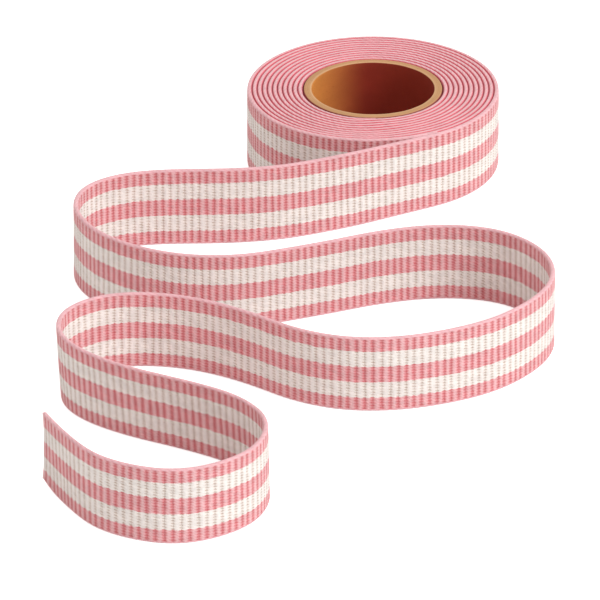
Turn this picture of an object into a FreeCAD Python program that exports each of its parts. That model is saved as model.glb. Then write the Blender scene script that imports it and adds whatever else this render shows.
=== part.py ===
import FreeCAD, Part
import math
import os

import Sketcher

# A roll of striped grosgrain ribbon on a short cardboard core, lying on one edge of its
# coil, with a free tail that stands on the same edge and winds away in loose bends.
# Millimetres, +Z up. The origin is on the core's axis, at the level the roll rests on.
# The tail leaves the coil on its -Y side and runs towards -Y.

os.makedirs("parts", exist_ok=True)
doc = FreeCAD.newDocument("ribbon_roll")

# ---------------------------------------------------------------- driving dimensions
driving = [
    ("ribbon_width", 16.5, "height of the coil, of the core and of the tail"),
    ("ribbon_thickness", 1.0, "over the ribs of the weave"),
    ("lap_air", 0.05, "between one lap of the coil and the next"),
    ("lap_count", 11, "laps of ribbon on the core"),
    ("core_bore", 25.4, "diameter of the hole"),
    ("core_wall", 1.9, "thickness of the cardboard"),
    ("tape_thickness", 0.1, "double-sided tape under the first lap"),
    ("tape_width", 12.0, "along the core"),
    ("tape_angle", 60.0, "share of the core's round that the tape covers, degrees"),
    ("inner_end_angle", 110.0, "clockwise from +X to the ribbon's inner end, degrees"),
    ("leave_angle", 60.0, "clockwise from +X to where the tail leaves the coil, degrees"),
    ("first_run", 24.0, "from the coil to the tail's first free point"),
    ("bend_share", 0.46, "share of the shorter run that each bend's arc takes"),
]
sheet = doc.addObject("Spreadsheet::Sheet", "dimensions")
for row, (alias, number, note) in enumerate(driving, start=1):
    sheet.set(f"A{row}", alias)
    sheet.set(f"B{row}", str(number))
    sheet.set(f"C{row}", note)
    sheet.setAlias(f"B{row}", alias)
doc.recompute()

core_radius = "(dimensions.core_bore / 2 + dimensions.core_wall)"
coil_radius = (f"({core_radius} + dimensions.lap_count * "
               "(dimensions.ribbon_thickness + dimensions.lap_air))")


def bind(thing, **expressions):
    """Tie each named property of a document object to an expression on the sheet."""
    for name, expression in expressions.items():
        thing.setExpression(name, expression)


def origin_plane(body, role):
    return next(f for f in body.Origin.OriginFeatures if f.Role == role)


def new_sketch(body, name, role):
    sketch = body.newObject("Sketcher::SketchObject", name)
    sketch.AttachmentSupport = [(origin_plane(body, role), "")]
    sketch.MapMode = "FlatFace"
    return sketch


def sector(name, radius, height, angle):
    """A slice of a disc that starts at its own +X, bound to the sheet."""
    piece = doc.addObject("Part::Cylinder", name)
    bind(piece, Radius=radius, Height=height, Angle=angle)
    return piece


def cut(label, base, tool):
    result = doc.addObject("Part::Cut", label)
    result.Base = base
    result.Tool = tool
    result.Label = label
    return result


# ---------------------------------------------------------------- core: cardboard tube
def make_core():
    body = doc.addObject("PartDesign::Body", "core")
    body.Label = "core"
    ring = new_sketch(body, "core_ring", "XY_Plane")
    centre = FreeCAD.Vector(0, 0, 0)
    up = FreeCAD.Vector(0, 0, 1)
    bore = sheet.core_bore / 2
    for radius in (bore, bore + sheet.core_wall):
        edge = ring.addGeometry(Part.Circle(centre, up, radius), False)
        ring.addConstraint(Sketcher.Constraint("Coincident", edge, 3, -1, 1))
    ring.addConstraint(Sketcher.Constraint("Radius", 0, bore))
    ring.addConstraint(Sketcher.Constraint("Radius", 1, bore + sheet.core_wall))
    ring.renameConstraint(2, "bore_radius")
    ring.renameConstraint(3, "outer_radius")
    bind(ring, **{"Constraints.bore_radius": "dimensions.core_bore / 2",
                  "Constraints.outer_radius": core_radius})
    tube = body.newObject("PartDesign::Pad", "core_tube")
    tube.Profile = ring
    bind(tube, Length="dimensions.ribbon_width")
    return body


# ---------------------------------------------------------------- tape under the first lap
def make_tape():
    """A curved patch of double-sided tape that holds the ribbon's inner end on the core. The
    ribbon starts at inner_end_angle and runs clockwise over the patch."""
    lift = "(dimensions.ribbon_width - dimensions.tape_width) / 2"
    height = "dimensions.tape_width"
    outer = sector("tape_outer", f"{core_radius} + dimensions.tape_thickness", height,
                   "dimensions.tape_angle")
    inner = sector("tape_inner", core_radius, height, "360")
    for piece in (outer, inner):
        bind(piece, **{"Placement.Base.z": lift})
    turn = "-(dimensions.inner_end_angle + dimensions.tape_angle)"
    bind(outer, **{"Placement.Rotation.Angle": turn})
    return cut("start_tape", outer, inner), outer


# ---------------------------------------------------------------- coil
def make_coil(tape_space):
    """The wound laps as one ring. Its outside is a spiral of two half discs on the line
    through the point where the tail leaves, so one step as high as the ribbon is thick
    is left there, and the tail's end meets that step face to face."""
    height = "dimensions.ribbon_width"
    last_half = sector("last_half_lap", coil_radius, height, "180")
    other_half = sector("other_half_lap", f"{coil_radius} - dimensions.ribbon_thickness / 2",
                        height, "180")
    bind(last_half, **{"Placement.Rotation.Angle": "-dimensions.leave_angle"})
    bind(other_half, **{
        "Placement.Rotation.Angle": "180 - dimensions.leave_angle",
        "Placement.Base.x": "-dimensions.ribbon_thickness / 2 * cos(dimensions.leave_angle)",
        "Placement.Base.y": "dimensions.ribbon_thickness / 2 * sin(dimensions.leave_angle)"})
    disc = doc.addObject("Part::Fuse", "laps")
    disc.Base = last_half
    disc.Tool = other_half
    disc.Refine = True
    hole = sector("coil_hole", core_radius, height, "360")
    ring = cut("coil_ring", disc, hole)
    return cut("wound_ribbon", ring, tape_space)


# ---------------------------------------------------------------- tail
# The tail's free points in plan, from the first bend to the cut end. The ribbon's middle
# runs straight towards each point and turns past its inside on an arc.
free_points = [
    (-25, -39.9), (-47, -39.9), (-58.3, -45.2), (-62, -56), (-58, -68), (-47, -78.2),
    (-31, -82.2), (-14, -76.1), (1, -69), (14, -65.7), (27, -68.5), (35.1, -78.5),
    (37, -91), (30.7, -104.5), (18.5, -115), (0, -120.7), (-15, -116.5), (-27, -105.5),
    (-41, -98.3), (-55, -98.7), (-63.5, -107), (-63.5, -119.3), (-53, -130.5), (-38, -138.3),
    (-26, -146.5), (-20.5, -159), (-25, -173), (-38, -181.4), (-51.5, -177.7),
    (-60.5, -167.7), (-66.1, -153.5),
]


def tail_route():
    """The points of the middle line, from the coil's step to the cut end."""
    turn = math.radians(-sheet.leave_angle)
    out = FreeCAD.Vector(math.cos(turn), math.sin(turn), 0)
    along = FreeCAD.Vector(out.y, -out.x, 0)
    laps = sheet.lap_count * (sheet.ribbon_thickness + sheet.lap_air)
    radius = sheet.core_bore / 2 + sheet.core_wall + laps
    start = out * (radius - sheet.ribbon_thickness / 2)
    route = [start, start + along * sheet.first_run]
    route += [FreeCAD.Vector(x, y, 0) for x, y in free_points]
    return route


def strip_edge(route, offset):
    """One long edge of the strip in plan: straight runs joined by tangent arcs, as far
    to the left of the middle line as offset says."""
    edges = []
    last = None
    for i in range(1, len(route) - 1):
        before = route[i] - route[i - 1]
        after = route[i + 1] - route[i]
        reach = sheet.bend_share * min(before.Length, after.Length)
        turn = math.atan2(before.x * after.y - before.y * after.x, before.dot(after))
        radius = reach / math.tan(abs(turn) / 2)
        before.normalize()
        after.normalize()
        side = 1 if turn > 0 else -1
        left = FreeCAD.Vector(-before.y, before.x, 0)
        if last is None:
            last = route[0] + left * offset
        first = route[i] - before * reach + left * offset
        centre = route[i] - before * reach + left * (side * radius)
        own_radius = radius - side * offset
        middle_angle = math.atan2(before.y, before.x) + turn / 2 - side * math.pi / 2
        middle = centre + FreeCAD.Vector(math.cos(middle_angle), math.sin(middle_angle), 0) * own_radius
        end = route[i] + after * reach + FreeCAD.Vector(-after.y, after.x, 0) * offset
        edges.append(Part.LineSegment(last, first))
        edges.append(Part.Arc(first, middle, end))
        last = end
    tip = route[-1] + FreeCAD.Vector(-after.y, after.x, 0) * offset
    edges.append(Part.LineSegment(last, tip))
    return edges, tip


def make_tail():
    route = tail_route()
    body = doc.addObject("PartDesign::Body", "ribbon_tail")
    body.Label = "ribbon_tail"
    outline = new_sketch(body, "tail_outline", "XY_Plane")
    half = sheet.ribbon_thickness / 2
    left, left_tip = strip_edge(route, half)
    right, right_tip = strip_edge(route, -half)
    caps = [Part.LineSegment(left[0].StartPoint, right[0].StartPoint),
            Part.LineSegment(left_tip, right_tip)]
    outline.addGeometry(left + right + caps, False)
    strip = body.newObject("PartDesign::Pad", "tail_strip")
    strip.Profile = outline
    bind(strip, Length="dimensions.ribbon_width")
    return body, sum(e.length() for e in left + right) / 2


core = make_core()
tape, tape_space = make_tape()
coil = make_coil(tape_space)
tail, tail_length = make_tail()
doc.recompute()

# ---------------------------------------------------------------- checks and export
pieces = [core, tape, coil, tail]
for thing in doc.Objects:
    if {"Invalid", "Error"} & set(thing.State):
        raise RuntimeError(f"{thing.Label} did not recompute: {thing.State}")
for piece in pieces:
    if piece.Shape.isNull() or not piece.Shape.isValid():
        raise RuntimeError(f"{piece.Label} has no valid shape")
section = sheet.ribbon_width * sheet.ribbon_thickness
if abs(tail.Shape.Volume / (section * tail_length) - 1) > 0.001:
    raise RuntimeError("the tail's volume is not its section times its length")
for piece in pieces:
    piece.Shape.exportStep(f"parts/{piece.Label}.step")
    box = piece.Shape.BoundBox
    print(f"{piece.Label}: {len(piece.Shape.Solids)} solid, {piece.Shape.Volume:.0f} mm3, "
          f"x {box.XMin:.1f} to {box.XMax:.1f}, y {box.YMin:.1f} to {box.YMax:.1f}, "
          f"z {box.ZMin:.1f} to {box.ZMax:.1f}")
print(f"tail length {tail_length:.0f} mm")
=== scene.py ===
import math

import bmesh
import bpy
import numpy as np
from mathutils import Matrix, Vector


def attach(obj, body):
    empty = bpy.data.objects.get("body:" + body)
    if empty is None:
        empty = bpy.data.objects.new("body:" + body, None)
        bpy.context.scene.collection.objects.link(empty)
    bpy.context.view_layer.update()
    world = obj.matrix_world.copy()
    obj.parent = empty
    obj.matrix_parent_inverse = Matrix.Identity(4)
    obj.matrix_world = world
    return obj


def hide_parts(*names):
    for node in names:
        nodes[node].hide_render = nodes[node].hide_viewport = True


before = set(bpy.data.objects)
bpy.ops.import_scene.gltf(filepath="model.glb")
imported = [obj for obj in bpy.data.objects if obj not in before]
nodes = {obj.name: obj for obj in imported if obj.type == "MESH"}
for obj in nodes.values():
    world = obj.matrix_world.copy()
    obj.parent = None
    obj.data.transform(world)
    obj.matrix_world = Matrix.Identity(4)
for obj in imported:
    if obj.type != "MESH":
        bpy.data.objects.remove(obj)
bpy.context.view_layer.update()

scene = bpy.context.scene
mm = 0.001


# camera: a long lens from the front, looking down on the roll
camera = {
    "place": (-0.015128, -3.679356, 1.720169),
    "target": (-0.015128, -0.067997, 0.00025),
    "lens": 1173.96,
    "sensor": 36.0,
    "reach": 20.0,      # nothing further away is drawn
}


def aim(thing, place, target):
    thing.location = place
    toTarget = Vector(target) - Vector(place)
    thing.rotation_euler = toTarget.to_track_quat("-Z", "Y").to_euler()


def makeCamera():
    data = bpy.data.cameras.new("camera")
    data.lens = camera["lens"]
    data.sensor_width = camera["sensor"]
    data.clip_end = camera["reach"]
    seen = bpy.data.objects.new("camera", data)
    scene.collection.objects.link(seen)
    aim(seen, camera["place"], camera["target"])
    scene.camera = seen


makeCamera()
scene.view_settings.view_transform = "Standard"
print("camera ready")


# small helpers for shader nodes
def addNode(tree, kind, inputs=None, **settings):
    node = tree.nodes.new(kind)
    for name, value in settings.items():
        setattr(node, name, value)
    for name, value in (inputs or {}).items():
        if isinstance(value, bpy.types.NodeSocket):
            tree.links.new(value, node.inputs[name])
        else:
            node.inputs[name].default_value = value
    return node


def calc(tree, operation, *values):
    return addNode(tree, "ShaderNodeMath", dict(enumerate(values)), operation=operation).outputs[0]


def ramp(tree, value, low, high, start=0.0):
    # smooth step from start to 1, as value goes from low to high
    inputs = {"Value": value, "From Min": low, "From Max": high, "To Min": start, "To Max": 1.0}
    node = addNode(tree, "ShaderNodeMapRange", inputs, interpolation_type="SMOOTHSTEP")
    return node.outputs["Result"]


def stir(tree, value, noise, amount):
    # adds a noise that averages a half, so that the value's own average stays
    return calc(tree, "MULTIPLY_ADD", calc(tree, "SUBTRACT", noise, 0.5), amount, value)


def mixColor(tree, share, first, second):
    # the colour sockets of a Mix node are its seventh and eighth
    inputs = {0: share, 6: first, 7: second}
    return addNode(tree, "ShaderNodeMix", inputs, data_type="RGBA").outputs[2]


def randomOf(tree, first, second, shift):
    # a steady random value between 0 and 1 for each pair of whole numbers
    place = addNode(tree, "ShaderNodeCombineXYZ", {"X": first, "Y": second, "Z": shift}).outputs[0]
    noise = addNode(tree, "ShaderNodeTexWhiteNoise", {"Vector": place}, noise_dimensions="3D")
    return noise.outputs["Value"]


def noiseOn(tree, spot, size, detail, **more):
    inputs = {"Vector": spot, "Scale": size, "Detail": detail, **more}
    return addNode(tree, "ShaderNodeTexNoise", inputs).outputs["Fac"]


def startGroup(name, inputs, outputs):
    group = bpy.data.node_groups.new(name, "ShaderNodeTree")
    for label, kind, value in inputs:
        socket = group.interface.new_socket(label, in_out="INPUT", socket_type=kind)
        if value is not None:
            socket.default_value = value
    for label, kind in outputs:
        group.interface.new_socket(label, in_out="OUTPUT", socket_type=kind)
    return group, group.nodes.new("NodeGroupInput"), group.nodes.new("NodeGroupOutput")


def newMaterial(name):
    made = bpy.data.materials.new(name)
    made.use_nodes = True
    tree = made.node_tree
    tree.nodes.clear()
    shader = tree.nodes.new("ShaderNodeBsdfPrincipled")
    end = tree.nodes.new("ShaderNodeOutputMaterial")
    tree.links.new(shader.outputs[0], end.inputs["Surface"])
    return made, tree, shader


def addBump(tree, shader, height, strength, distance):
    inputs = {"Strength": strength, "Distance": distance, "Height": height}
    bump = addNode(tree, "ShaderNodeBump", inputs)
    tree.links.new(bump.outputs[0], shader.inputs["Normal"])


# woven colours, with painted highlight and painted shade on the ribs, and thread sizes; lengths here
# are millimetres, and a pair gives the two places between which something grows from nothing to its
# full strength
weave = {
    # the crest colours hold a painted highlight, the flank colours painted shade on a rib's rounded
    # sides, and the gap shades painted shade in the valleys and in the gaps between threads
    "pinkCrest": (0.85, 0.54, 0.565, 1.0),
    "pinkFlank": (0.75, 0.33, 0.35, 1.0),
    "pinkGapShade": (0.58, 0.115, 0.13, 1.0),
    "whiteCrest": (0.90, 0.88, 0.855, 1.0),
    "whiteFlank": (0.84, 0.80, 0.76, 1.0),
    "whiteGapShade": (0.46, 0.34, 0.27, 1.0),
    "selvedge": (0.82, 0.49, 0.53, 1.0),
    "tucked": (0.70, 0.125, 0.17, 1.0),     # painted rose shade on the flank of a selvedge that another lap lies against: the shade and pink bounce light of the gap between the laps
    "tuckedShadeReach": 1.2,         # how far down the ribbon that painted shade goes
    "aside": (0.21, 0.42),      # it starts this far from the middle of the thickness
    "middle": 8.25,             # half of the ribbon's width
    "stripe": 3.3,              # width of a stripe, for telling the borders apart
    "whiteMiddle": 3.48,        # from the ribbon's middle to the middle of each white stripe
    "whiteHalf": 1.76,          # half the width of a white stripe
    "border": 0.07,             # half width of the change from one stripe to the next
    "jag": 0.12,                # how far a border jumps from rib to rib
    "dip": 0.11,                # how far the pink runs into the white at a valley
    "bandStart": 0.52,          # the plain selvedge starts this far from the edge
    "bandFull": 0.30,           # and is complete here
    "thread": 0.61,             # spacing of the warp threads
    "strands": 3.0,             # strands twisted into each thread
    "slant": 0.65,              # how many threads the weave climbs over one rib
    "zigzag": 0.07,             # how far a thread pushes the valley aside, as a share of a rib
    "flank": (0.10, 0.72),      # places on a rib: 0 is its crest, 1 the valley beside it
    "valley": (0.52, 0.86),
    "narrowValley": (0.66, 0.96),
    "wideValley": (0.40, 0.76),
    "threadGap": (0.35, 0.95),  # places on a thread: 0 is its middle, 1 the gap beside it
    "strandGap": (0.25, 0.95),
    "dashGap": (0.40, 1.0),     # how much of a gap shows as a dash of painted shade in the valley
    "pinkDepth": 0.42,          # painted shade of a whole valley between its dashes, where 1 is darkest
    "whiteDepth": 0.22,
    "whiteDash": 0.85,          # strength of the dashes in the white, where 1 is the pink's
    "strandLine": 0.6,          # painted shade in the lines between strands, beside that in the lines between threads
    "pinkLine": 0.40,           # how dark that painted shade is in each colour
    "whiteLine": 0.10,
    "wrapTwist": 1.3,           # ribs that an edge thread runs on over each millimetre
    # painted shade in the gaps between the wrapped edge threads
    "wrapGap": (0.35, 1.0),
    "wrapShade": 0.14,
    "lintSize": (3.2, 5.5, 5.5),    # lumps of lint for each rib along and each millimetre across
    "lintDetail": 3.0,
    "dyeSize": (0.35, 0.5, 1.0),
    "dyeDetail": 2.0,
    "lintThread": 0.75,         # how far lint moves a thread, a valley and a border
    "lintValley": 0.30,
    "lintBorder": 0.25,
    "lintBare": (0.36, 0.60),   # the lines between threads are hidden in lint below this
    "lintHidden": 0.25,         # share of a line that still shows there
    "lintTone": 0.20,
    "dyeTone": 0.12,
    "threadTone": 0.12,
    "lintHeight": 0.9,
    "threadSeed": 3.0,
    "borderSeed": 7.0,
    "toneSeed": 11.0,
    "roughness": 0.74,
    "lintRoughness": 0.16,
    "gloss": 0.4,
    "sheen": 0.3,
    "sheenRoughness": 0.5,
    "sheenTint": (1.0, 0.93, 0.92, 1.0),
    "bump": 0.6,
    "bumpHeight": 0.08 * mm,    # metres
}


def peak(tree, value):
    # 0 in the middle of each unit of value, 1 where one unit meets the next
    part = calc(tree, "FRACT", value)
    return calc(tree, "ABSOLUTE", calc(tree, "MULTIPLY_ADD", part, 2.0, -1.0))


def noiseAt(tree, places, sizes, detail):
    # noise over three values, each with its own size
    place = addNode(tree, "ShaderNodeCombineXYZ", dict(zip("XYZ", places))).outputs[0]
    scaled = addNode(tree, "ShaderNodeVectorMath", {0: place, 1: sizes}, operation="MULTIPLY")
    return noiseOn(tree, scaled.outputs[0], 1.0, detail)


def makeWeaveGroup():
    # five stripes on ribs; Ribs counts the ribs along, Across and Side are in millimetres
    colour, number = "NodeSocketColor", "NodeSocketFloat"
    group, given, made = startGroup(
        "ribbed stripe weave",
        (
            ("Ribs", number, 0.0),
            ("Across", number, 0.0),
            ("Side", number, 0.0),
            ("Pink Crest", colour, weave["pinkCrest"]),
            ("Pink Flank", colour, weave["pinkFlank"]),
            ("Pink Gap Shade", colour, weave["pinkGapShade"]),
            ("White Crest", colour, weave["whiteCrest"]),
            ("White Flank", colour, weave["whiteFlank"]),
            ("White Gap Shade", colour, weave["whiteGapShade"]),
            ("Selvedge", colour, weave["selvedge"]),
            ("Tucked Shade Color", colour, weave["tucked"]),
            ("Tucked", number, 0.0),
            ("Thread Spacing", number, weave["thread"]),
        ),
        (("Color", colour), ("Roughness", number), ("Height", number)),
    )
    ribs, across, side = (given.outputs[name] for name in ("Ribs", "Across", "Side"))
    pinkGapShade, whiteGapShade = given.outputs["Pink Gap Shade"], given.outputs["White Gap Shade"]
    # a unit here runs from one crest to the next, with the valley in its middle
    crests = calc(group, "ADD", ribs, 0.5)
    rib = calc(group, "FLOOR", crests)
    part = calc(group, "FRACT", crests)

    # lint and uneven dye
    lint = noiseAt(group, (ribs, across, side), weave["lintSize"], weave["lintDetail"])
    dye = noiseAt(group, (ribs, across, side), weave["dyeSize"], weave["dyeDetail"])

    # plain edge band of the ribbon, where the ribs end
    fromMiddle = calc(group, "ABSOLUTE", calc(group, "SUBTRACT", across, weave["middle"]))
    bandStart = weave["middle"] - weave["bandStart"]
    edgeBand = ramp(group, fromMiddle, bandStart, weave["middle"] - weave["bandFull"])

    # warp threads lie side by side and climb a little over each rib, the same way on both faces
    climb = calc(group, "MULTIPLY", calc(group, "SIGN", side), -weave["slant"])
    climb = calc(group, "MULTIPLY", part, climb)
    level = calc(group, "DIVIDE", across, given.outputs["Thread Spacing"])
    ribShift = randomOf(group, rib, 0.0, weave["threadSeed"])
    threads = calc(group, "ADD", calc(group, "ADD", level, climb), ribShift)
    threads = calc(group, "MULTIPLY_ADD", lint, weave["lintThread"], threads)
    thread = calc(group, "FLOOR", threads)
    gap = ramp(group, peak(group, threads), *weave["threadGap"])
    strands = calc(group, "MULTIPLY", threads, weave["strands"])
    strandGap = ramp(group, peak(group, strands), *weave["strandGap"])

    # place on one rib: 0 on its crest, 1 in the valley beside it, which the threads push about
    swing = calc(group, "SINE", calc(group, "MULTIPLY", threads, 2.0 * math.pi))
    pushed = calc(group, "MULTIPLY_ADD", swing, weave["zigzag"], ribs)
    fromCrest = peak(group, stir(group, pushed, lint, weave["lintValley"]))
    flank = ramp(group, fromCrest, *weave["flank"])
    valley = ramp(group, fromCrest, *weave["valley"])
    narrow = ramp(group, fromCrest, *weave["narrowValley"])
    wide = ramp(group, fromCrest, *weave["wideValley"])

    # stripes: a border jumps a little from rib to rib, and the pink runs on in the valleys
    borderId = calc(group, "ROUND", calc(group, "DIVIDE", across, weave["stripe"]))
    jump = randomOf(group, rib, borderId, weave["borderSeed"])
    moved = stir(group, across, jump, weave["jag"])
    moved = stir(group, moved, lint, weave["lintBorder"])
    moved = calc(group, "ABSOLUTE", calc(group, "SUBTRACT", moved, weave["middle"]))
    fromWhite = calc(group, "ABSOLUTE", calc(group, "SUBTRACT", moved, weave["whiteMiddle"]))
    halfWhite = calc(group, "MULTIPLY_ADD", valley, -weave["dip"], weave["whiteHalf"])
    beyond = calc(group, "SUBTRACT", fromWhite, halfWhite)
    pinkShare = ramp(group, beyond, -weave["border"], weave["border"])

    # painted shade: the valleys and the gaps between threads are painted darker, and the gaps cross
    # each valley as slanted dashes, over a dark line in the pink, over a faint one in the white
    dash = calc(group, "MULTIPLY", wide, ramp(group, gap, *weave["dashGap"]))
    pinkDepth = calc(group, "MAXIMUM", calc(group, "MULTIPLY", valley, weave["pinkDepth"]), dash)
    whiteDash = calc(group, "MULTIPLY", dash, weave["whiteDash"])
    whiteDepth = calc(group, "MULTIPLY", narrow, weave["whiteDepth"])
    whiteDepth = calc(group, "MAXIMUM", whiteDepth, whiteDash)
    # painted highlight on each crest, and painted shade on the flanks and in the valley
    pink = mixColor(group, flank, given.outputs["Pink Crest"], given.outputs["Pink Flank"])
    pink = mixColor(group, pinkDepth, pink, pinkGapShade)
    white = mixColor(group, flank, given.outputs["White Crest"], given.outputs["White Flank"])
    white = mixColor(group, whiteDepth, white, whiteGapShade)

    # painted shade: strands and the gaps between threads are painted a little darker, in the pink
    # above all
    lines = calc(group, "MAXIMUM", calc(group, "MULTIPLY", strandGap, weave["strandLine"]), gap)
    bare = ramp(group, lint, *weave["lintBare"], start=weave["lintHidden"])
    lines = calc(group, "MULTIPLY", lines, bare)
    pink = mixColor(group, calc(group, "MULTIPLY", lines, weave["pinkLine"]), pink, pinkGapShade)
    white = mixColor(group, calc(group, "MULTIPLY", lines, weave["whiteLine"]), white, whiteGapShade)
    woven = mixColor(group, pinkShare, white, pink)

    # selvedge: plain rounded edge with slanted wrapped threads, with painted shade in the gaps
    # between them
    twist = calc(group, "MULTIPLY_ADD", side, weave["wrapTwist"], ribs)
    wrap = ramp(group, peak(group, twist), *weave["wrapGap"])
    wrapShade = calc(group, "MULTIPLY", wrap, weave["wrapShade"])
    edged = mixColor(group, wrapShade, given.outputs["Selvedge"], pinkGapShade)
    # painted shade: where two laps lie together, the flanks and the narrow gap below them are
    # painted rose, for the shade and pink bounce light between the laps
    aside = ramp(group, calc(group, "ABSOLUTE", side), *weave["aside"])
    reach = ramp(group, fromMiddle, weave["middle"] - weave["tuckedShadeReach"], bandStart)
    hidden = calc(group, "MULTIPLY", calc(group, "MULTIPLY", aside, reach), given.outputs["Tucked"])
    cloth = mixColor(group, edgeBand, woven, edged)
    cloth = mixColor(group, hidden, cloth, given.outputs["Tucked Shade Color"])

    threadTone = randomOf(group, rib, thread, weave["toneSeed"])
    tone = stir(group, 1.0, threadTone, weave["threadTone"])
    tone = stir(group, tone, dye, weave["dyeTone"])
    tone = stir(group, tone, lint, weave["lintTone"])
    toned = addNode(group, "ShaderNodeVectorMath", {0: cloth, "Scale": tone}, operation="SCALE")
    group.links.new(toned.outputs[0], made.inputs["Color"])
    rough = calc(group, "MULTIPLY_ADD", lint, weave["lintRoughness"], weave["roughness"])
    group.links.new(rough, made.inputs["Roughness"])

    # height: round threads on the face, wrapped threads on the edge, lint on both
    faceHeight = calc(group, "SUBTRACT", 1.0, lines)
    wrapHeight = calc(group, "SUBTRACT", 1.0, wrap)
    heights = {"Factor": edgeBand, "A": faceHeight, "B": wrapHeight}
    height = addNode(group, "ShaderNodeMix", heights, data_type="FLOAT").outputs[0]
    height = stir(group, height, lint, weave["lintHeight"])
    group.links.new(height, made.inputs["Height"])
    return group


weaveGroup = makeWeaveGroup()


def makeRibbonMaterial():
    made, tree, shader = newMaterial("striped grosgrain")
    placed = addNode(tree, "ShaderNodeGroup", node_tree=weaveGroup)
    for name in ("ribs", "across", "side", "tucked"):
        value = addNode(tree, "ShaderNodeAttribute", attribute_name=name)
        tree.links.new(value.outputs["Fac"], placed.inputs[name.capitalize()])
    tree.links.new(placed.outputs["Color"], shader.inputs["Base Color"])
    tree.links.new(placed.outputs["Roughness"], shader.inputs["Roughness"])
    addBump(tree, shader, placed.outputs["Height"], weave["bump"], weave["bumpHeight"])
    shader.inputs["Specular IOR Level"].default_value = weave["gloss"]
    shader.inputs["Sheen Weight"].default_value = weave["sheen"]
    shader.inputs["Sheen Roughness"].default_value = weave["sheenRoughness"]
    shader.inputs["Sheen Tint"].default_value = weave["sheenTint"]
    return made


ribbonMaterial = makeRibbonMaterial()
print("weave ready")


# the ribbon's own sizes, metres unless a note says otherwise
ribbon = {
    "width": 16.5 * mm,
    "half": 0.5 * mm,           # half of the thickness
    "pressed": 0.45 * mm,       # half of the thickness over the tape
    "ribDepth": 0.15 * mm,      # depth of a valley on each face
    "ribPressed": 0.3,          # share of that depth left where another lap presses on the face
    "edgeThin": 0.035 * mm,     # the selvedge is this much thinner than the ribs on each face
    "ribRound": 0.60,           # 0.5 gives half-round ribs, lower gives flatter ones
    "ribsStart": 0.20 * mm,     # the ribs rise out of the selvedge between these two heights
    "ribsFull": 0.60 * mm,
    "edgeBumps": 0.03 * mm,     # the small waves that the ribs leave on the selvedge
    "edgeFull": 0.95,           # 1 gives a half-round selvedge, lower gives a fuller one
    "spacingVaries": 0.05,      # share by which the ribs' spacing and depth vary
    "depthVaries": 0.22,
    "pitchCoil": 1.45 * mm,
    "pitchStart": 1.47 * mm,    # rib spacing where the tail leaves the coil
    "pitchEnd": 1.74 * mm,      # and at its cut end, where the ribbon lies slack
    "wave": 0.05 * mm,          # the loose ribbon sways this far aside
    "waveLong": 7.3 * mm,       # a full wave is about six times this along the ribbon
    "waveTall": 5.1 * mm,       # and across it
    "ripple": 0.03 * mm,        # a shorter wave on top
    "rippleLong": 2.9 * mm,
    "rippleStart": 1.3,
    "ribBend": 0.05 * mm,       # a rib's line bends this far along the ribbon
    "ribBendTall": 2.3 * mm,
    "ribBendTurn": 2.1,         # how differently it bends from rib to rib
    "calmStart": 6 * mm,        # the waves fade out towards the two ends
    "calmEnd": 3 * mm,
    "cutReach": 6 * mm,         # length of ribbon that the cut's own shape changes
    "cutHollow": 0.7 * mm,      # how much longer the ribbon is at its edges than in its middle
    "hollowAt": 0.55,           # height of the hollow's middle, as a share of the width
    "cutSlant": 1.15 * mm,      # how far the cut runs on below the middle and falls short above it
    "cutCurl": 0.5 * mm,        # how far the lower corner of the cut end curls up
    "curlCorner": 6,            # higher keeps the curl closer to the corner
    "seed": 4,
}
fineSteps = (0.0, 0.06, 0.15, 0.30, 0.50, 0.70, 0.85, 0.94)     # rings on one rib
coarseSteps = (0.0, 0.16, 0.50, 0.84)
coilHeights = (0.30, 0.45, 0.62, 15.88, 16.05, 16.20)           # points on a face, millimetres up
tailHeights = (0.30, 0.45, 0.62, 2.0, 3.3, 6.6, 9.9, 13.2, 14.5, 15.88, 16.05, 16.20)
edgeSteps = 6       # faces round each selvedge


def smooth(low, high, value):
    share = np.clip((value - low) / (high - low), 0.0, 1.0)
    return share * share * (3.0 - 2.0 * share)


def splineThrough(points):
    # the smooth line of a NURBS curve with these control points
    data = bpy.data.curves.new("line", "CURVE")
    data.dimensions = "3D"
    data.resolution_u = 48      # points from one control point to the next
    spline = data.splines.new("NURBS")
    spline.points.add(len(points) - 1)
    for point, (x, y) in zip(spline.points, points):
        point.co = (x, y, 0.0, 1.0)
    spline.order_u = 3
    spline.use_endpoint_u = True
    holder = bpy.data.objects.new("line", data)
    mesh = bpy.data.meshes.new_from_object(holder)
    line = np.array([vertex.co[:2] for vertex in mesh.vertices])
    bpy.data.objects.remove(holder)
    bpy.data.curves.remove(data)
    bpy.data.meshes.remove(mesh)
    return line


def evenLine(line, step, soften):
    # points at even steps along the line, its bends softened over a short length
    samePoint = 1e-9    # a shorter step is none
    gaps = np.hypot(*np.diff(line, axis=0).T)
    run = np.concatenate(([0.0], np.cumsum(gaps)))
    keep = np.concatenate(([True], gaps > samePoint))
    run, line = run[keep], line[keep]
    count = int(round(run[-1] / step))
    along = np.linspace(0.0, run[-1], count + 1)
    even = np.stack([np.interp(along, run, line[:, k]) for k in (0, 1)], axis=1)
    reach = int(3 * soften / step)
    weights = np.exp(-0.5 * (np.arange(-reach, reach + 1) * step / soften) ** 2)
    weights /= weights.sum()
    before = 2 * even[0] - even[reach:0:-1]
    after = 2 * even[-1] - even[-2:-reach - 2:-1]
    padded = np.concatenate((before, even, after))
    return np.stack([np.convolve(padded[:, k], weights, "valid") for k in (0, 1)], axis=1)


def measure(line):
    # length so far, and the direction of travel at each point
    run = np.concatenate(([0.0], np.cumsum(np.hypot(*np.diff(line, axis=0).T))))
    ahead = np.gradient(line, axis=0)
    ahead /= np.hypot(ahead[:, 0], ahead[:, 1])[:, None]
    return run, ahead


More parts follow.
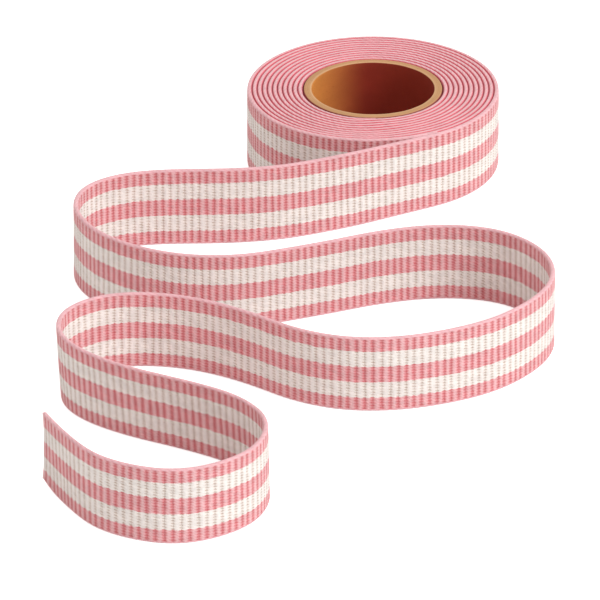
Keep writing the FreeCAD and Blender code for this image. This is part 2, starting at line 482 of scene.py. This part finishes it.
def ribEdges(pitches, length, seed):
    # where each rib starts along the ribbon, with slightly uneven spacing
    random = np.random.default_rng(seed)
    uneven = random.standard_normal(len(pitches)).clip(-2, 2)
    edges = np.cumsum(pitches * (1.0 + ribbon["spacingVaries"] * uneven))
    edges = np.concatenate(([0.0], edges))
    edges *= length / edges[-1]
    return edges


def ringsOn(firstRib, lastRib, steps):
    # rib numbers, with their fractions, of the rings on these ribs
    return (np.arange(firstRib, lastRib)[:, None] + np.array(steps)[None, :]).ravel()


def crossSection(heights):
    # one ring round the ribbon: height, side (-1 to 1), and how far the point is round an edge
    low, high = heights[0] * mm, heights[-1] * mm
    rise = ribbon["width"] - high
    power = ribbon["edgeFull"]
    turns = [math.pi * k / edgeSteps for k in range(1, edgeSteps)]
    ups = [math.sin(turn) ** power for turn in turns]
    sides = [math.copysign(abs(math.cos(turn)) ** power, math.cos(turn)) for turn in turns]
    ring = [(h * mm, 1.0, 0.0) for h in heights]
    ring += [(high + rise * up, side, up) for side, up in zip(sides, ups)]
    ring += [(h * mm, -1.0, 0.0) for h in reversed(heights)]
    ring += [(low - rise * up, -side, -up) for side, up in zip(sides, ups)]
    return np.array(ring)


def ribRelief(numbers, places, ring, freeFrom):
    # what the ribs take off each face, the depth of each ring's valley, and where laps touch
    height, side = ring[:, 0], ring[:, 1]
    # rounded ribs: nothing taken off on the crest, the full depth in the valley
    part = numbers - np.floor(numbers)
    fromCrest = np.abs(2.0 * part - 1.0)
    valley = 1.0 - (1.0 - fromCrest ** 2).clip(0.0) ** ribbon["ribRound"]
    fromEdge = np.minimum(height, ribbon["width"] - height)
    ribShare = smooth(ribbon["ribsStart"], ribbon["ribsFull"], fromEdge)
    # some valleys are deeper than others
    random = np.random.default_rng(ribbon["seed"])
    ribCount = int(np.floor(numbers[-1])) + 2
    depths = 1.0 + ribbon["depthVaries"] * random.uniform(-1, 1, ribCount)
    valleyNumber = np.floor(numbers + 0.5).astype(int)
    depth = ribbon["ribDepth"] * depths[valleyNumber] * valley
    # before freeFrom both sides lie against another lap, after it only the inner side does
    under = places < freeFrom
    tucked = np.where(side[None, :] < 0.0, under[:, None] | (freeFrom > 0.0), under[:, None])
    ribLeft = np.where(tucked, ribbon["ribPressed"], 1.0)
    taken = depth[:, None] * ribShare[None, :] * ribLeft
    taken = taken + ribbon["edgeThin"] * (1.0 - ribShare)[None, :]
    return taken, ribShare, valley, valleyNumber, tucked


def ribbonMesh(name, line, numbers, places, heights, firstRib=0, lean=None, half=None, freeFrom=0.0):
    # sweeps the cross-section along the line, with ribs on both faces and a rounded selvedge
    run, ahead = measure(line)
    spot = np.stack([np.interp(places, run, line[:, k]) for k in (0, 1)], axis=1)
    way = np.stack([np.interp(places, run, ahead[:, k]) for k in (0, 1)], axis=1)
    way /= np.hypot(way[:, 0], way[:, 1])[:, None]
    left = np.stack([-way[:, 1], way[:, 0]], axis=1)
    ring = crossSection(heights)
    rings, points = len(places), len(ring)
    height, side = ring[:, 0], ring[:, 1]
    level = height / ribbon["width"]
    halves = np.full(rings, ribbon["half"]) if half is None else half
    leans = np.zeros(rings) if lean is None else lean

    taken, ribShare, valley, valleyNumber, tucked = ribRelief(numbers, places, ring, freeFrom)
    taken *= (halves / ribbon["half"])[:, None]
    bumps = ribbon["edgeBumps"] * valley[:, None]
    outward = (halves[:, None] - taken) * side[None, :]
    up = height[None, :] - bumps * ring[:, 2][None, :]
    shift = leans[:, None] * (0.5 - level[None, :])

    # the rib lines are never dead straight
    turn = ribbon["ribBendTurn"] * valleyNumber[:, None]
    bend = np.sin(height[None, :] / ribbon["ribBendTall"] + turn)
    toEnd = places[-1] - places
    fade = smooth(0.0, ribbon["calmStart"], places)
    fade = np.minimum(fade, smooth(0.0, ribbon["calmEnd"], toEnd))[:, None]
    along = ribbon["ribBend"] * bend * fade * ribShare[None, :]
    if lean is not None:
        # the loose part sways a little
        sway = places[:, None] / ribbon["waveLong"] + height[None, :] / ribbon["waveTall"]
        ripple = places[:, None] / ribbon["rippleLong"] + ribbon["rippleStart"]
        wave = ribbon["wave"] * np.sin(sway) + ribbon["ripple"] * np.sin(ripple)
        shift = shift + wave * fade
        # scissors left the cut end slightly hollow and slanted
        nearCut = smooth(places[-1] - ribbon["cutReach"], places[-1], places)[:, None]
        hollow = ribbon["cutHollow"] * (2.0 * (level - ribbon["hollowAt"])) ** 2
        slant = ribbon["cutSlant"] * (1.0 - 2.0 * level)
        along = along + (hollow + slant)[None, :] * nearCut
        up = up + ribbon["cutCurl"] * (1.0 - level) ** ribbon["curlCorner"] * nearCut

    x = spot[:, 0:1] + left[:, 0:1] * (outward + shift) + way[:, 0:1] * along
    y = spot[:, 1:2] + left[:, 1:2] * (outward + shift) + way[:, 1:2] * along
    place = np.stack([x, y, up], axis=2).reshape(-1, 3)

    starts = np.arange(rings - 1)[:, None] * points
    first = starts + np.arange(points)[None, :]
    second = starts + (np.arange(points)[None, :] + 1) % points
    quads = np.stack([first, first + points, second + points, second], axis=2).reshape(-1, 4)
    ends = [list(range(points)), list(range((rings - 1) * points, rings * points))[::-1]]

    mesh = bpy.data.meshes.new(name)
    mesh.from_pydata(place.tolist(), [], quads.tolist() + ends)
    smoothFaces = np.ones(len(mesh.polygons), bool)
    smoothFaces[-2:] = False
    mesh.polygons.foreach_set("use_smooth", smoothFaces)
    mesh.update()
    if mesh.validate():
        print(name, "needed repair")
    # what the weave reads at each point
    for label, values in (
        ("tucked", tucked.ravel()),
        ("ribs", np.repeat(numbers + firstRib, points)),
        ("across", np.tile(height / mm, rings)),
        ("side", np.tile(side * ribbon["half"] / mm, rings)),
    ):
        attribute = mesh.attributes.new(label, "FLOAT", "POINT")
        attribute.data.foreach_set("value", values.astype(np.float32))
    made = bpy.data.objects.new(name, mesh)
    scene.collection.objects.link(made)
    mesh.materials.append(ribbonMaterial)
    return made, ring


# how the cloth's surface is laid on the unit square that a texture is drawn on
clothMap = {
    "left": 0.004,          # empty strip before each row
    "span": 0.99,           # how much of the square a row fills
    "spare": 0.4 * mm,      # cloth that a row has room for beyond its own length
    "gap": 0.006,           # empty strip above each row
    "top": 0.97,            # the rows end here
    "slack": 1e-7,          # a place this little short of a row's start is in the row
    "capLeft": 0.01,        # the two cut ends lie above the rows
    "capSpan": 0.4,
    "capMiddle": 0.985,
    "capHalf": 0.008,
    "capApart": 0.5,
}


def layFlat(mesh, places, ring, rows):
    # spreads the cloth's surface over the square, row above row
    points, quads = len(ring), len(places) - 1
    following = np.roll(ring, -1, axis=0)
    apart = following - ring
    sizes = np.hypot(apart[:, 0], apart[:, 1] * ribbon["half"])
    flat = np.zeros((quads, points, 4, 2))
    starts = [row["start"] for row in rows]
    rowOf = np.searchsorted(starts, places[:-1] + clothMap["slack"], side="right") - 1
    for k, row in enumerate(rows):
        mine = np.nonzero(rowOf == k)[0]
        room = np.ones(points)
        for side in (1.0, -1.0):
            room[(ring[:, 1] == side) & (following[:, 1] == side)] = row["room"][side > 0]
        level = np.concatenate(([0.0], np.cumsum(sizes * room)))
        level = row["low"] + (row["high"] - row["low"]) * level / level[-1]
        scale = clothMap["span"] / row["length"]
        near = clothMap["left"] + scale * (places[mine] - row["start"])
        far = clothMap["left"] + scale * (places[mine + 1] - row["start"])
        flat[mine, :, 0, 0] = flat[mine, :, 3, 0] = near[:, None]
        flat[mine, :, 1, 0] = flat[mine, :, 2, 0] = far[:, None]
        flat[mine, :, 0, 1] = flat[mine, :, 1, 1] = level[:-1]
        flat[mine, :, 2, 1] = flat[mine, :, 3, 1] = level[1:]
    capX = clothMap["capLeft"] + clothMap["capSpan"] * ring[:, 0] / ribbon["width"]
    capY = clothMap["capMiddle"] + clothMap["capHalf"] * ring[:, 1]
    cap = np.stack([capX, capY], axis=1)
    otherCap = cap[::-1] + np.array([clothMap["capApart"], 0.0])
    spread = np.concatenate((flat.ravel(), cap.ravel(), otherCap.ravel()))
    mesh.uv_layers.new(name="OFBake").uv.foreach_set("vector", spread.astype(np.float32))


def evenRows(start, end, count, low, high, room):
    # count rows of equal length between two lengths along the cloth
    length, tall = (end - start) / count, (high - low) / count
    return [
        {
            "start": start + k * length,
            "length": length + clothMap["spare"],
            "low": low + k * tall,
            "high": low + (k + 1) * tall - clothMap["gap"],
            "room": room,       # share of its own size that the inner and the outer face get
        }
        for k in range(count)
    ]


def facesOut(thing):
    # makes every face point outward
    work = bmesh.new()
    work.from_mesh(thing.data)
    bmesh.ops.recalc_face_normals(work, faces=work.faces)
    work.to_mesh(thing.data)
    work.free()


# coil: the ribbon starts on the core and walks clockwise, seen from above
coil = {
    "innerEnd": math.radians(-88.0),
    "leave": math.radians(-60.0),
    "radius": 15.1 * mm,        # middle of the first lap
    "rise": 1.05 * mm,          # from one lap to the next
    "laps": 10,                 # laps outside the first
    "climbEnd": math.radians(50.0),     # a short climb ends this far past the leave angle
    "firstRise": math.radians(22.0),    # the first climb, over the pressed inner end
    "riseGrowth": 1.17,         # each climb is this much longer than the one inside it
    "endThin": 0.1,             # share of the thickness at the very end of the ribbon
    "tapeAngle": math.radians(60.0),
    "tapeEase": math.radians(4.0),      # the ribbon thins over this angle at each end of the tape
    "step": math.radians(0.2),
    "fineLaps": 1.04,           # laps with fine ribs, counted from the outside
    "hiddenRows": 8,            # rows of the laps inside on the texture's square
    "hiddenTop": 0.47,          # they fill it up to here
    "hiddenRoom": (0.04, 0.04),     # and give their inner and outer faces little room
    "outerRows": 2,             # rows of the outermost lap
    "outerLow": 0.48,
    "outerRoom": (0.08, 1.0),
}


def coilLine():
    # the middle line of the wound ribbon, and half of its thickness along it
    total = coil["innerEnd"] - coil["leave"] + 2 * math.pi * (coil["laps"] + 1)
    turned = np.linspace(0.0, total, int(total / coil["step"]) + 1)
    angle = coil["innerEnd"] - turned
    tapeStart = coil["firstRise"]
    tapeEnd = tapeStart + coil["tapeAngle"]
    taper = smooth(0.0, tapeStart, turned)
    overTape = smooth(tapeStart - coil["tapeEase"], tapeStart, turned)
    overTape *= 1.0 - smooth(tapeEnd, tapeEnd + coil["tapeEase"], turned)
    squeeze = (ribbon["half"] - ribbon["pressed"]) * overTape
    thinner = ribbon["half"] * (1.0 - coil["endThin"]) * (1.0 - taper)
    half = ribbon["half"] - thinner - squeeze
    radius = coil["radius"] - thinner + squeeze
    for lap in range(1, coil["laps"] + 1):
        reach = coil["firstRise"] * coil["riseGrowth"] ** (lap - 1)
        start = coil["leave"] - 2 * math.pi * lap
        lead = max(coil["climbEnd"] - reach, 0.0)
        radius += coil["rise"] * smooth(lead, lead + reach, start - angle)
    return np.stack([radius * np.cos(angle), radius * np.sin(angle)], axis=1), half


def makeCoil():
    line, halfAlong = coilLine()
    run, _ = measure(line)
    length = run[-1]
    lapLength = 2 * math.pi * (coil["radius"] + coil["rise"] * coil["laps"])
    # coarse rings on the hidden laps, fine ones on the outermost
    count = int(round(length / ribbon["pitchCoil"]))
    fineLength = lapLength * coil["fineLaps"]
    firstFine = count - int(round(fineLength / ribbon["pitchCoil"]))
    coarse = ringsOn(0, firstFine, coarseSteps)
    numbers = np.concatenate((coarse, ringsOn(firstFine, count, fineSteps), [count]))
    edges = ribEdges(np.ones(count), length, ribbon["seed"] + 1)
    places = np.interp(numbers, np.arange(count + 1), edges)
    half = np.interp(places, run, halfAlong)
    made, ring = ribbonMesh(
        "ribbon_coil", line, numbers, places, coilHeights, half=half, freeFrom=length - lapLength
    )
    # the laps inside show only their selvedges
    outerStart = length - fineLength
    rows = evenRows(
        0.0, outerStart, coil["hiddenRows"], 0.0, coil["hiddenTop"], coil["hiddenRoom"]
    )
    rows += evenRows(
        outerStart, length, coil["outerRows"], coil["outerLow"], clothMap["top"], coil["outerRoom"]
    )
    layFlat(made.data, places, ring, rows)
    return made, count, length


coilPiece, coilRibs, coilLength = makeCoil()
print("coil ready:", len(coilPiece.data.polygons), "faces,", round(coilLength, 3), "m")


# tail: the loose ribbon, sizes in millimetres
tail = {
    "points": [     # the route
        (12.8250, -22.2136), (-7.9596, -34.2136), (-25, -39.9), (-47, -39.9), (-58.3, -45.2),
        (-62, -56), (-58, -68), (-47, -78.2), (-31, -82.2), (-14, -76.1), (1, -69), (14, -65.7),
        (27, -68.5), (35.1, -78.5), (37, -91), (30.7, -104.5), (18.5, -115), (0, -120.7),
        (-15, -116.5), (-27, -105.5), (-41, -98.3), (-55, -98.7), (-63.5, -107), (-63.5, -119.3),
        (-53, -130.5), (-38, -138.3), (-26, -146.5), (-20.5, -159), (-25, -173), (-38, -181.4),
        (-51.5, -177.7), (-60.5, -167.7), (-66.1, -153.5),
    ],
    "lean": [       # how far the lower edge stands left of the upper one, at lengths along the tail
        (0, 0), (20, 0.7), (55, 0.7), (90, 0), (235, 0), (270, -0.2), (300, -0.5), (325, 0.2),
        (345, 1.1), (370, 2.1), (392, 1.2), (415, 0), (452, 0), (467, -0.9), (480, -0.9),
    ],
    "step": 0.05,           # between points on the route
    "softBend": 1.0,        # its bends are softened over this length
    "softLean": 8,          # and the lean over this one
    "leanFree": 20,         # the lean grows from none over this length
    "rows": 4,              # rows on the texture's square
    "room": (1.0, 1.0),
}


def leanAt(places, length):
    # the lean at each ring, softened along the tail
    fineRun = np.arange(0.0, length, mm)
    lengths, leans = np.array(tail["lean"]).T
    rough = np.interp(fineRun, lengths * mm, leans * mm)
    reach = 3 * tail["softLean"]
    weights = np.exp(-0.5 * (np.arange(-reach, reach + 1) / tail["softLean"]) ** 2)
    padded = np.concatenate((np.zeros(reach), rough, np.full(reach, rough[-1])))
    soft = np.convolve(padded, weights / weights.sum(), "valid")
    soft *= smooth(0.0, tail["leanFree"] * mm, fineRun)
    return np.interp(places, fineRun, soft)


def makeTail(firstRib):
    route = splineThrough([(x * mm, y * mm) for x, y in tail["points"]])
    line = evenLine(route, tail["step"] * mm, tail["softBend"] * mm)
    run, _ = measure(line)
    length = run[-1]
    pitchFirst, pitchLast = ribbon["pitchStart"], ribbon["pitchEnd"]
    count = int(round(length / (0.5 * (pitchFirst + pitchLast))))
    edges = ribEdges(np.linspace(pitchFirst, pitchLast, count), length, ribbon["seed"] + 2)
    numbers = np.append(ringsOn(0, count, fineSteps), count)
    places = np.interp(numbers, np.arange(count + 1), edges)
    lean = leanAt(places, length)
    made, ring = ribbonMesh(
        "ribbon_tail_cloth", line, numbers, places, tailHeights, firstRib=firstRib, lean=lean
    )
    rows = evenRows(0.0, length, tail["rows"], 0.0, clothMap["top"], tail["room"])
    layFlat(made.data, places, ring, rows)
    return made, length


tailPiece, tailLength = makeTail(coilRibs)
print("tail ready:", len(tailPiece.data.polygons), "faces,", round(tailLength, 3), "m")
for cloth in (coilPiece, tailPiece):
    facesOut(cloth)


# core: wound cardboard tube; a pair of lengths starts and completes a change of colour
core = {
    "bore": 12.7 * mm,
    "outer": 14.6 * mm,
    "height": 16.5 * mm,
    "rounding": 0.22 * mm,
    "around": 192,
    "cornerFaces": 4,
    "rimRings": (0.2, 0.4, 0.6, 0.8),           # shares of the way over the rim
    "boreRings": (0.1, 0.3, 0.5, 0.7, 0.9),     # and down the bore
    "groove": 0.25 * mm,        # the rim stands this far in from the first lap
    "grooveDeep": 0.5 * mm,
    "uneven": ((5, 0.02 * mm, 0.7), (11, 0.015 * mm, 0.0)),     # waves round the paper edge
    "kraft": (0.57, 0.33, 0.155, 1.0),
    "kraftLight": (0.66, 0.41, 0.21, 1.0),
    "boreWall": (0.82, 0.34, 0.07, 1.0),
    "boreShade": (0.24, 0.022, 0.010, 1.0),     # painted shade: the lining on the +X side of the bore, which faces -X, is painted dark red, for the shade and red bounce light there
    "boreDark": (0.30, 0.06, 0.015, 1.0),
    # painted shade in the groove between the rim and the first lap, tinted rose as by light bounced
    # off the ribbon
    "grooveShade": (0.30, 0.055, 0.075, 1.0),
    "paintedBoreShade": (-1.35, -0.05),       # where the painted shade takes over, along X in radii of the bore
    "rimStart": (0.02 * mm, 0.10 * mm),         # out from the bore wall
    "lightEdge": (0.75 * mm, 0.25 * mm),
    "grooveEdge": (-0.10 * mm, 0.02 * mm),      # out from the edge of the rim
    "plyPitch": 0.38 * mm,
    "plyShade": 0.18,
    "plyHeight": 0.4,
    "fibreSize": 1500.0,
    "fibreDetail": 5.0,
    "fibreGrain": 0.65,
    "fibreStretch": (1.0, 1.0, 2.2),
    "cloudSize": 120.0,
    "cloudDetail": 3.0,
    "fleck": (0.56, 0.75),
    "fleckShade": 0.35,
    "cloudTone": 0.30,
    "roughness": 0.55,
    "fibreRoughness": 0.25,
    "gloss": 0.3,
    "bump": 0.5,
    "bumpHeight": 0.04 * mm,
}


def coreProfile():
    # round the tube's wall: four rounded edges, the groove's step, and points on the flats
    bore, outer, top, soft = core["bore"], core["outer"], core["height"], core["rounding"]
    rimOuter = outer - core["groove"]
    rimLow = top - core["grooveDeep"]
    profile = []

    def addCorner(x, z, start):
        for k in range(core["cornerFaces"] + 1):
            turn = math.radians(start + 90 * k / core["cornerFaces"])
            profile.append((x + soft * math.cos(turn), z + soft * math.sin(turn)))

    addCorner(outer - soft, soft, -90)
    profile.append((outer, rimLow))
    profile.append((rimOuter, rimLow))
    addCorner(rimOuter - soft, top - soft, 0)
    for share in core["rimRings"]:
        profile.append((rimOuter - soft - share * (rimOuter - bore - 2 * soft), top))
    addCorner(bore + soft, top - soft, 90)
    for share in core["boreRings"]:
        profile.append((bore, top - soft - share * (top - 2 * soft)))
    addCorner(bore + soft, soft, 180)
    return profile


def makeCore():
    profile = coreProfile()
    around, count = core["around"], len(profile)
    rimEdge = core["height"] - 0.5 * core["rounding"]
    vertices = []
    for k in range(around):
        turn = 2 * math.pi * k / around
        # the paper edge is slightly uneven
        uneven = sum(size * math.sin(waves * turn + start) for waves, size, start in core["uneven"])
        for radius, z in profile:
            lift = -abs(uneven) if z > rimEdge else 0.0
            vertices.append((radius * math.cos(turn), radius * math.sin(turn), z + lift))
    faces = []
    for k in range(around):
        here, beside = k * count, (k + 1) % around * count
        for j in range(count):
            after = (j + 1) % count
            faces.append((here + j, here + after, beside + after, beside + j))
    mesh = bpy.data.meshes.new("cardboard_core")
    mesh.from_pydata(vertices, [], faces)
    mesh.polygons.foreach_set("use_smooth", [True] * len(faces))
    made = bpy.data.objects.new("cardboard_core", mesh)
    scene.collection.objects.link(made)
    facesOut(made)
    return made


def makePaperGroup():
    colour, number, vector = "NodeSocketColor", "NodeSocketFloat", "NodeSocketVector"
    group, given, made = startGroup(
        "paper fibre",
        (
            ("Vector", vector, None),
            ("Color", colour, core["kraft"]),
            ("Fleck", colour, core["boreDark"]),
            ("Fibre Size", number, core["fibreSize"]),
        ),
        (("Color", colour), ("Roughness", number), ("Height", number)),
    )
    stretch = {"Vector": given.outputs["Vector"], "Scale": core["fibreStretch"]}
    stretched = addNode(group, "ShaderNodeMapping", stretch).outputs[0]
    size = given.outputs["Fibre Size"]
    fibre = noiseOn(group, stretched, size, core["fibreDetail"], Roughness=core["fibreGrain"])
    cloud = noiseOn(group, stretched, core["cloudSize"], core["cloudDetail"])
    fleck = calc(group, "MULTIPLY", ramp(group, fibre, *core["fleck"]), core["fleckShade"])
    tinted = mixColor(group, fleck, given.outputs["Color"], given.outputs["Fleck"])
    tone = stir(group, 1.0, cloud, core["cloudTone"])
    toned = addNode(group, "ShaderNodeVectorMath", {0: tinted, "Scale": tone}, operation="SCALE")
    group.links.new(toned.outputs[0], made.inputs["Color"])
    rough = calc(group, "MULTIPLY_ADD", fibre, core["fibreRoughness"], core["roughness"])
    group.links.new(rough, made.inputs["Roughness"])
    group.links.new(fibre, made.inputs["Height"])
    return group


paperGroup = makePaperGroup()


def makeCoreMaterial():
    made, tree, shader = newMaterial("core cardboard")
    spot = addNode(tree, "ShaderNodeTexCoord").outputs["Object"]
    split = addNode(tree, "ShaderNodeSeparateXYZ", {"Vector": spot})
    x, y = split.outputs["X"], split.outputs["Y"]
    squares = calc(tree, "ADD", calc(tree, "MULTIPLY", x, x), calc(tree, "MULTIPLY", y, y))
    fromBore = calc(tree, "SUBTRACT", calc(tree, "SQRT", squares), core["bore"])
    # the lining paper covers the bore wall, and the rim is lighter in a thin ring next to the bore
    isRim = ramp(tree, fromBore, *core["rimStart"])
    lightEdge = ramp(tree, fromBore, *core["lightEdge"])
    rim = mixColor(tree, lightEdge, core["kraft"], core["kraftLight"])
    # painted shade: the groove at the rim's outer edge gets a dark rose colour
    rimWidth = core["outer"] - core["groove"] - core["bore"]
    inGroove = ramp(tree, fromBore, *(rimWidth + edge for edge in core["grooveEdge"]))
    rim = mixColor(tree, inGroove, rim, core["grooveShade"])
    # painted shade: the lining is painted dark red towards +X, where the bore wall lies in shade
    paintedBoreShade = ramp(tree, x, *(share * core["bore"] for share in core["paintedBoreShade"]))
    lining = mixColor(tree, paintedBoreShade, core["boreWall"], core["boreShade"])
    base = mixColor(tree, isRim, lining, rim)
    # paper plies show as fine rings on the rim
    plies = calc(tree, "MULTIPLY", fromBore, 2 * math.pi / core["plyPitch"])
    ring = calc(tree, "MULTIPLY_ADD", calc(tree, "SINE", plies), 0.5, 0.5)
    placed = addNode(tree, "ShaderNodeGroup", node_tree=paperGroup)
    tree.links.new(spot, placed.inputs["Vector"])
    tree.links.new(base, placed.inputs["Color"])
    plyShade = calc(tree, "MULTIPLY", calc(tree, "MULTIPLY", ring, isRim), core["plyShade"])
    shaded = mixColor(tree, plyShade, placed.outputs["Color"], core["boreDark"])
    tree.links.new(shaded, shader.inputs["Base Color"])
    tree.links.new(placed.outputs["Roughness"], shader.inputs["Roughness"])
    height = calc(tree, "MULTIPLY_ADD", ring, core["plyHeight"], placed.outputs["Height"])
    addBump(tree, shader, height, core["bump"], core["bumpHeight"])
    shader.inputs["Specular IOR Level"].default_value = core["gloss"]
    return made


corePiece = makeCore()
corePiece.data.materials.append(makeCoreMaterial())
print("core ready")


# tape under the ribbon's inner end
tape = {
    "yellow": (0.70, 0.66, 0.56, 1.0),
    "pale": (0.80, 0.77, 0.68, 1.0),
    "grainSize": 1400.0,
    "grainDetail": 3.0,
    "creaseSize": 220.0,
    "creaseDetail": 2.0,
    "roughness": 0.35,
    "grainRoughness": 0.3,
    "bump": 0.3,
    "bumpHeight": 0.03 * mm,
}


def makeTapeMaterial():
    made, tree, shader = newMaterial("start tape film")
    spot = addNode(tree, "ShaderNodeTexCoord").outputs["Object"]
    grain = noiseOn(tree, spot, tape["grainSize"], tape["grainDetail"])
    crease = noiseOn(tree, spot, tape["creaseSize"], tape["creaseDetail"])
    tree.links.new(mixColor(tree, crease, tape["yellow"], tape["pale"]), shader.inputs["Base Color"])
    rough = calc(tree, "MULTIPLY_ADD", grain, tape["grainRoughness"], tape["roughness"])
    tree.links.new(rough, shader.inputs["Roughness"])
    addBump(tree, shader, grain, tape["bump"], tape["bumpHeight"])
    return made


tapeNode = nodes["start_tape"]
tapeMaterial = makeTapeMaterial()
for slot in tapeNode.material_slots:
    slot.material = tapeMaterial
print("tape ready")


# floor and light
studio = {
    "floor": (0.90, 0.90, 0.90, 1.0),
    "floorSize": 8.0,
    "floorSplits": 8,
    "floorDrop": 0.02 * mm,     # how far the floor lies below the roll
    "floorRoughness": 0.9,
    "floorGloss": 0.1,
    "floorGlow": 0.65,          # seen by the camera only, so that it lights nothing
    "sky": (1.0, 0.925, 0.89, 1.0),
    "skyStrength": 0.79,
    "keyPlace": (1.42, -0.85, 1.15),
    "keyTarget": (-0.01, -0.07, 0.0),
    "keySize": 0.9,
    "keyPower": 20.4,
    "keyColor": (0.985, 1.0, 1.0),
}


def makeStudio():
    splits = studio["floorSplits"]
    bpy.ops.mesh.primitive_grid_add(
        x_subdivisions=splits, y_subdivisions=splits, size=studio["floorSize"]
    )
    floor = bpy.context.active_object
    floor.name = "floor"
    floor.location = (0.0, 0.0, -studio["floorDrop"])
    made, tree, shader = newMaterial("pale floor")
    shader.inputs["Base Color"].default_value = studio["floor"]
    shader.inputs["Roughness"].default_value = studio["floorRoughness"]
    shader.inputs["Specular IOR Level"].default_value = studio["floorGloss"]
    shader.inputs["Emission Color"].default_value = (1.0, 1.0, 1.0, 1.0)
    seen = addNode(tree, "ShaderNodeLightPath").outputs["Is Camera Ray"]
    glow = calc(tree, "MULTIPLY", seen, studio["floorGlow"])
    tree.links.new(glow, shader.inputs["Emission Strength"])
    floor.data.materials.append(made)

    world = bpy.data.worlds.new("studio")
    world.use_nodes = True
    back = world.node_tree.nodes["Background"]
    back.inputs["Color"].default_value = studio["sky"]
    back.inputs["Strength"].default_value = studio["skyStrength"]
    scene.world = world

    data = bpy.data.lights.new("key", "AREA")
    data.shape = "DISK"
    data.size = studio["keySize"]
    data.energy = studio["keyPower"]
    data.color = studio["keyColor"]
    key = bpy.data.objects.new("key", data)
    scene.collection.objects.link(key)
    aim(key, studio["keyPlace"], studio["keyTarget"])


makeStudio()
print("studio ready")

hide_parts("wound_ribbon")
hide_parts("ribbon_tail")
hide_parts("core")
for cloth in (coilPiece, tailPiece):
    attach(cloth, "root")
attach(corePiece, "root")
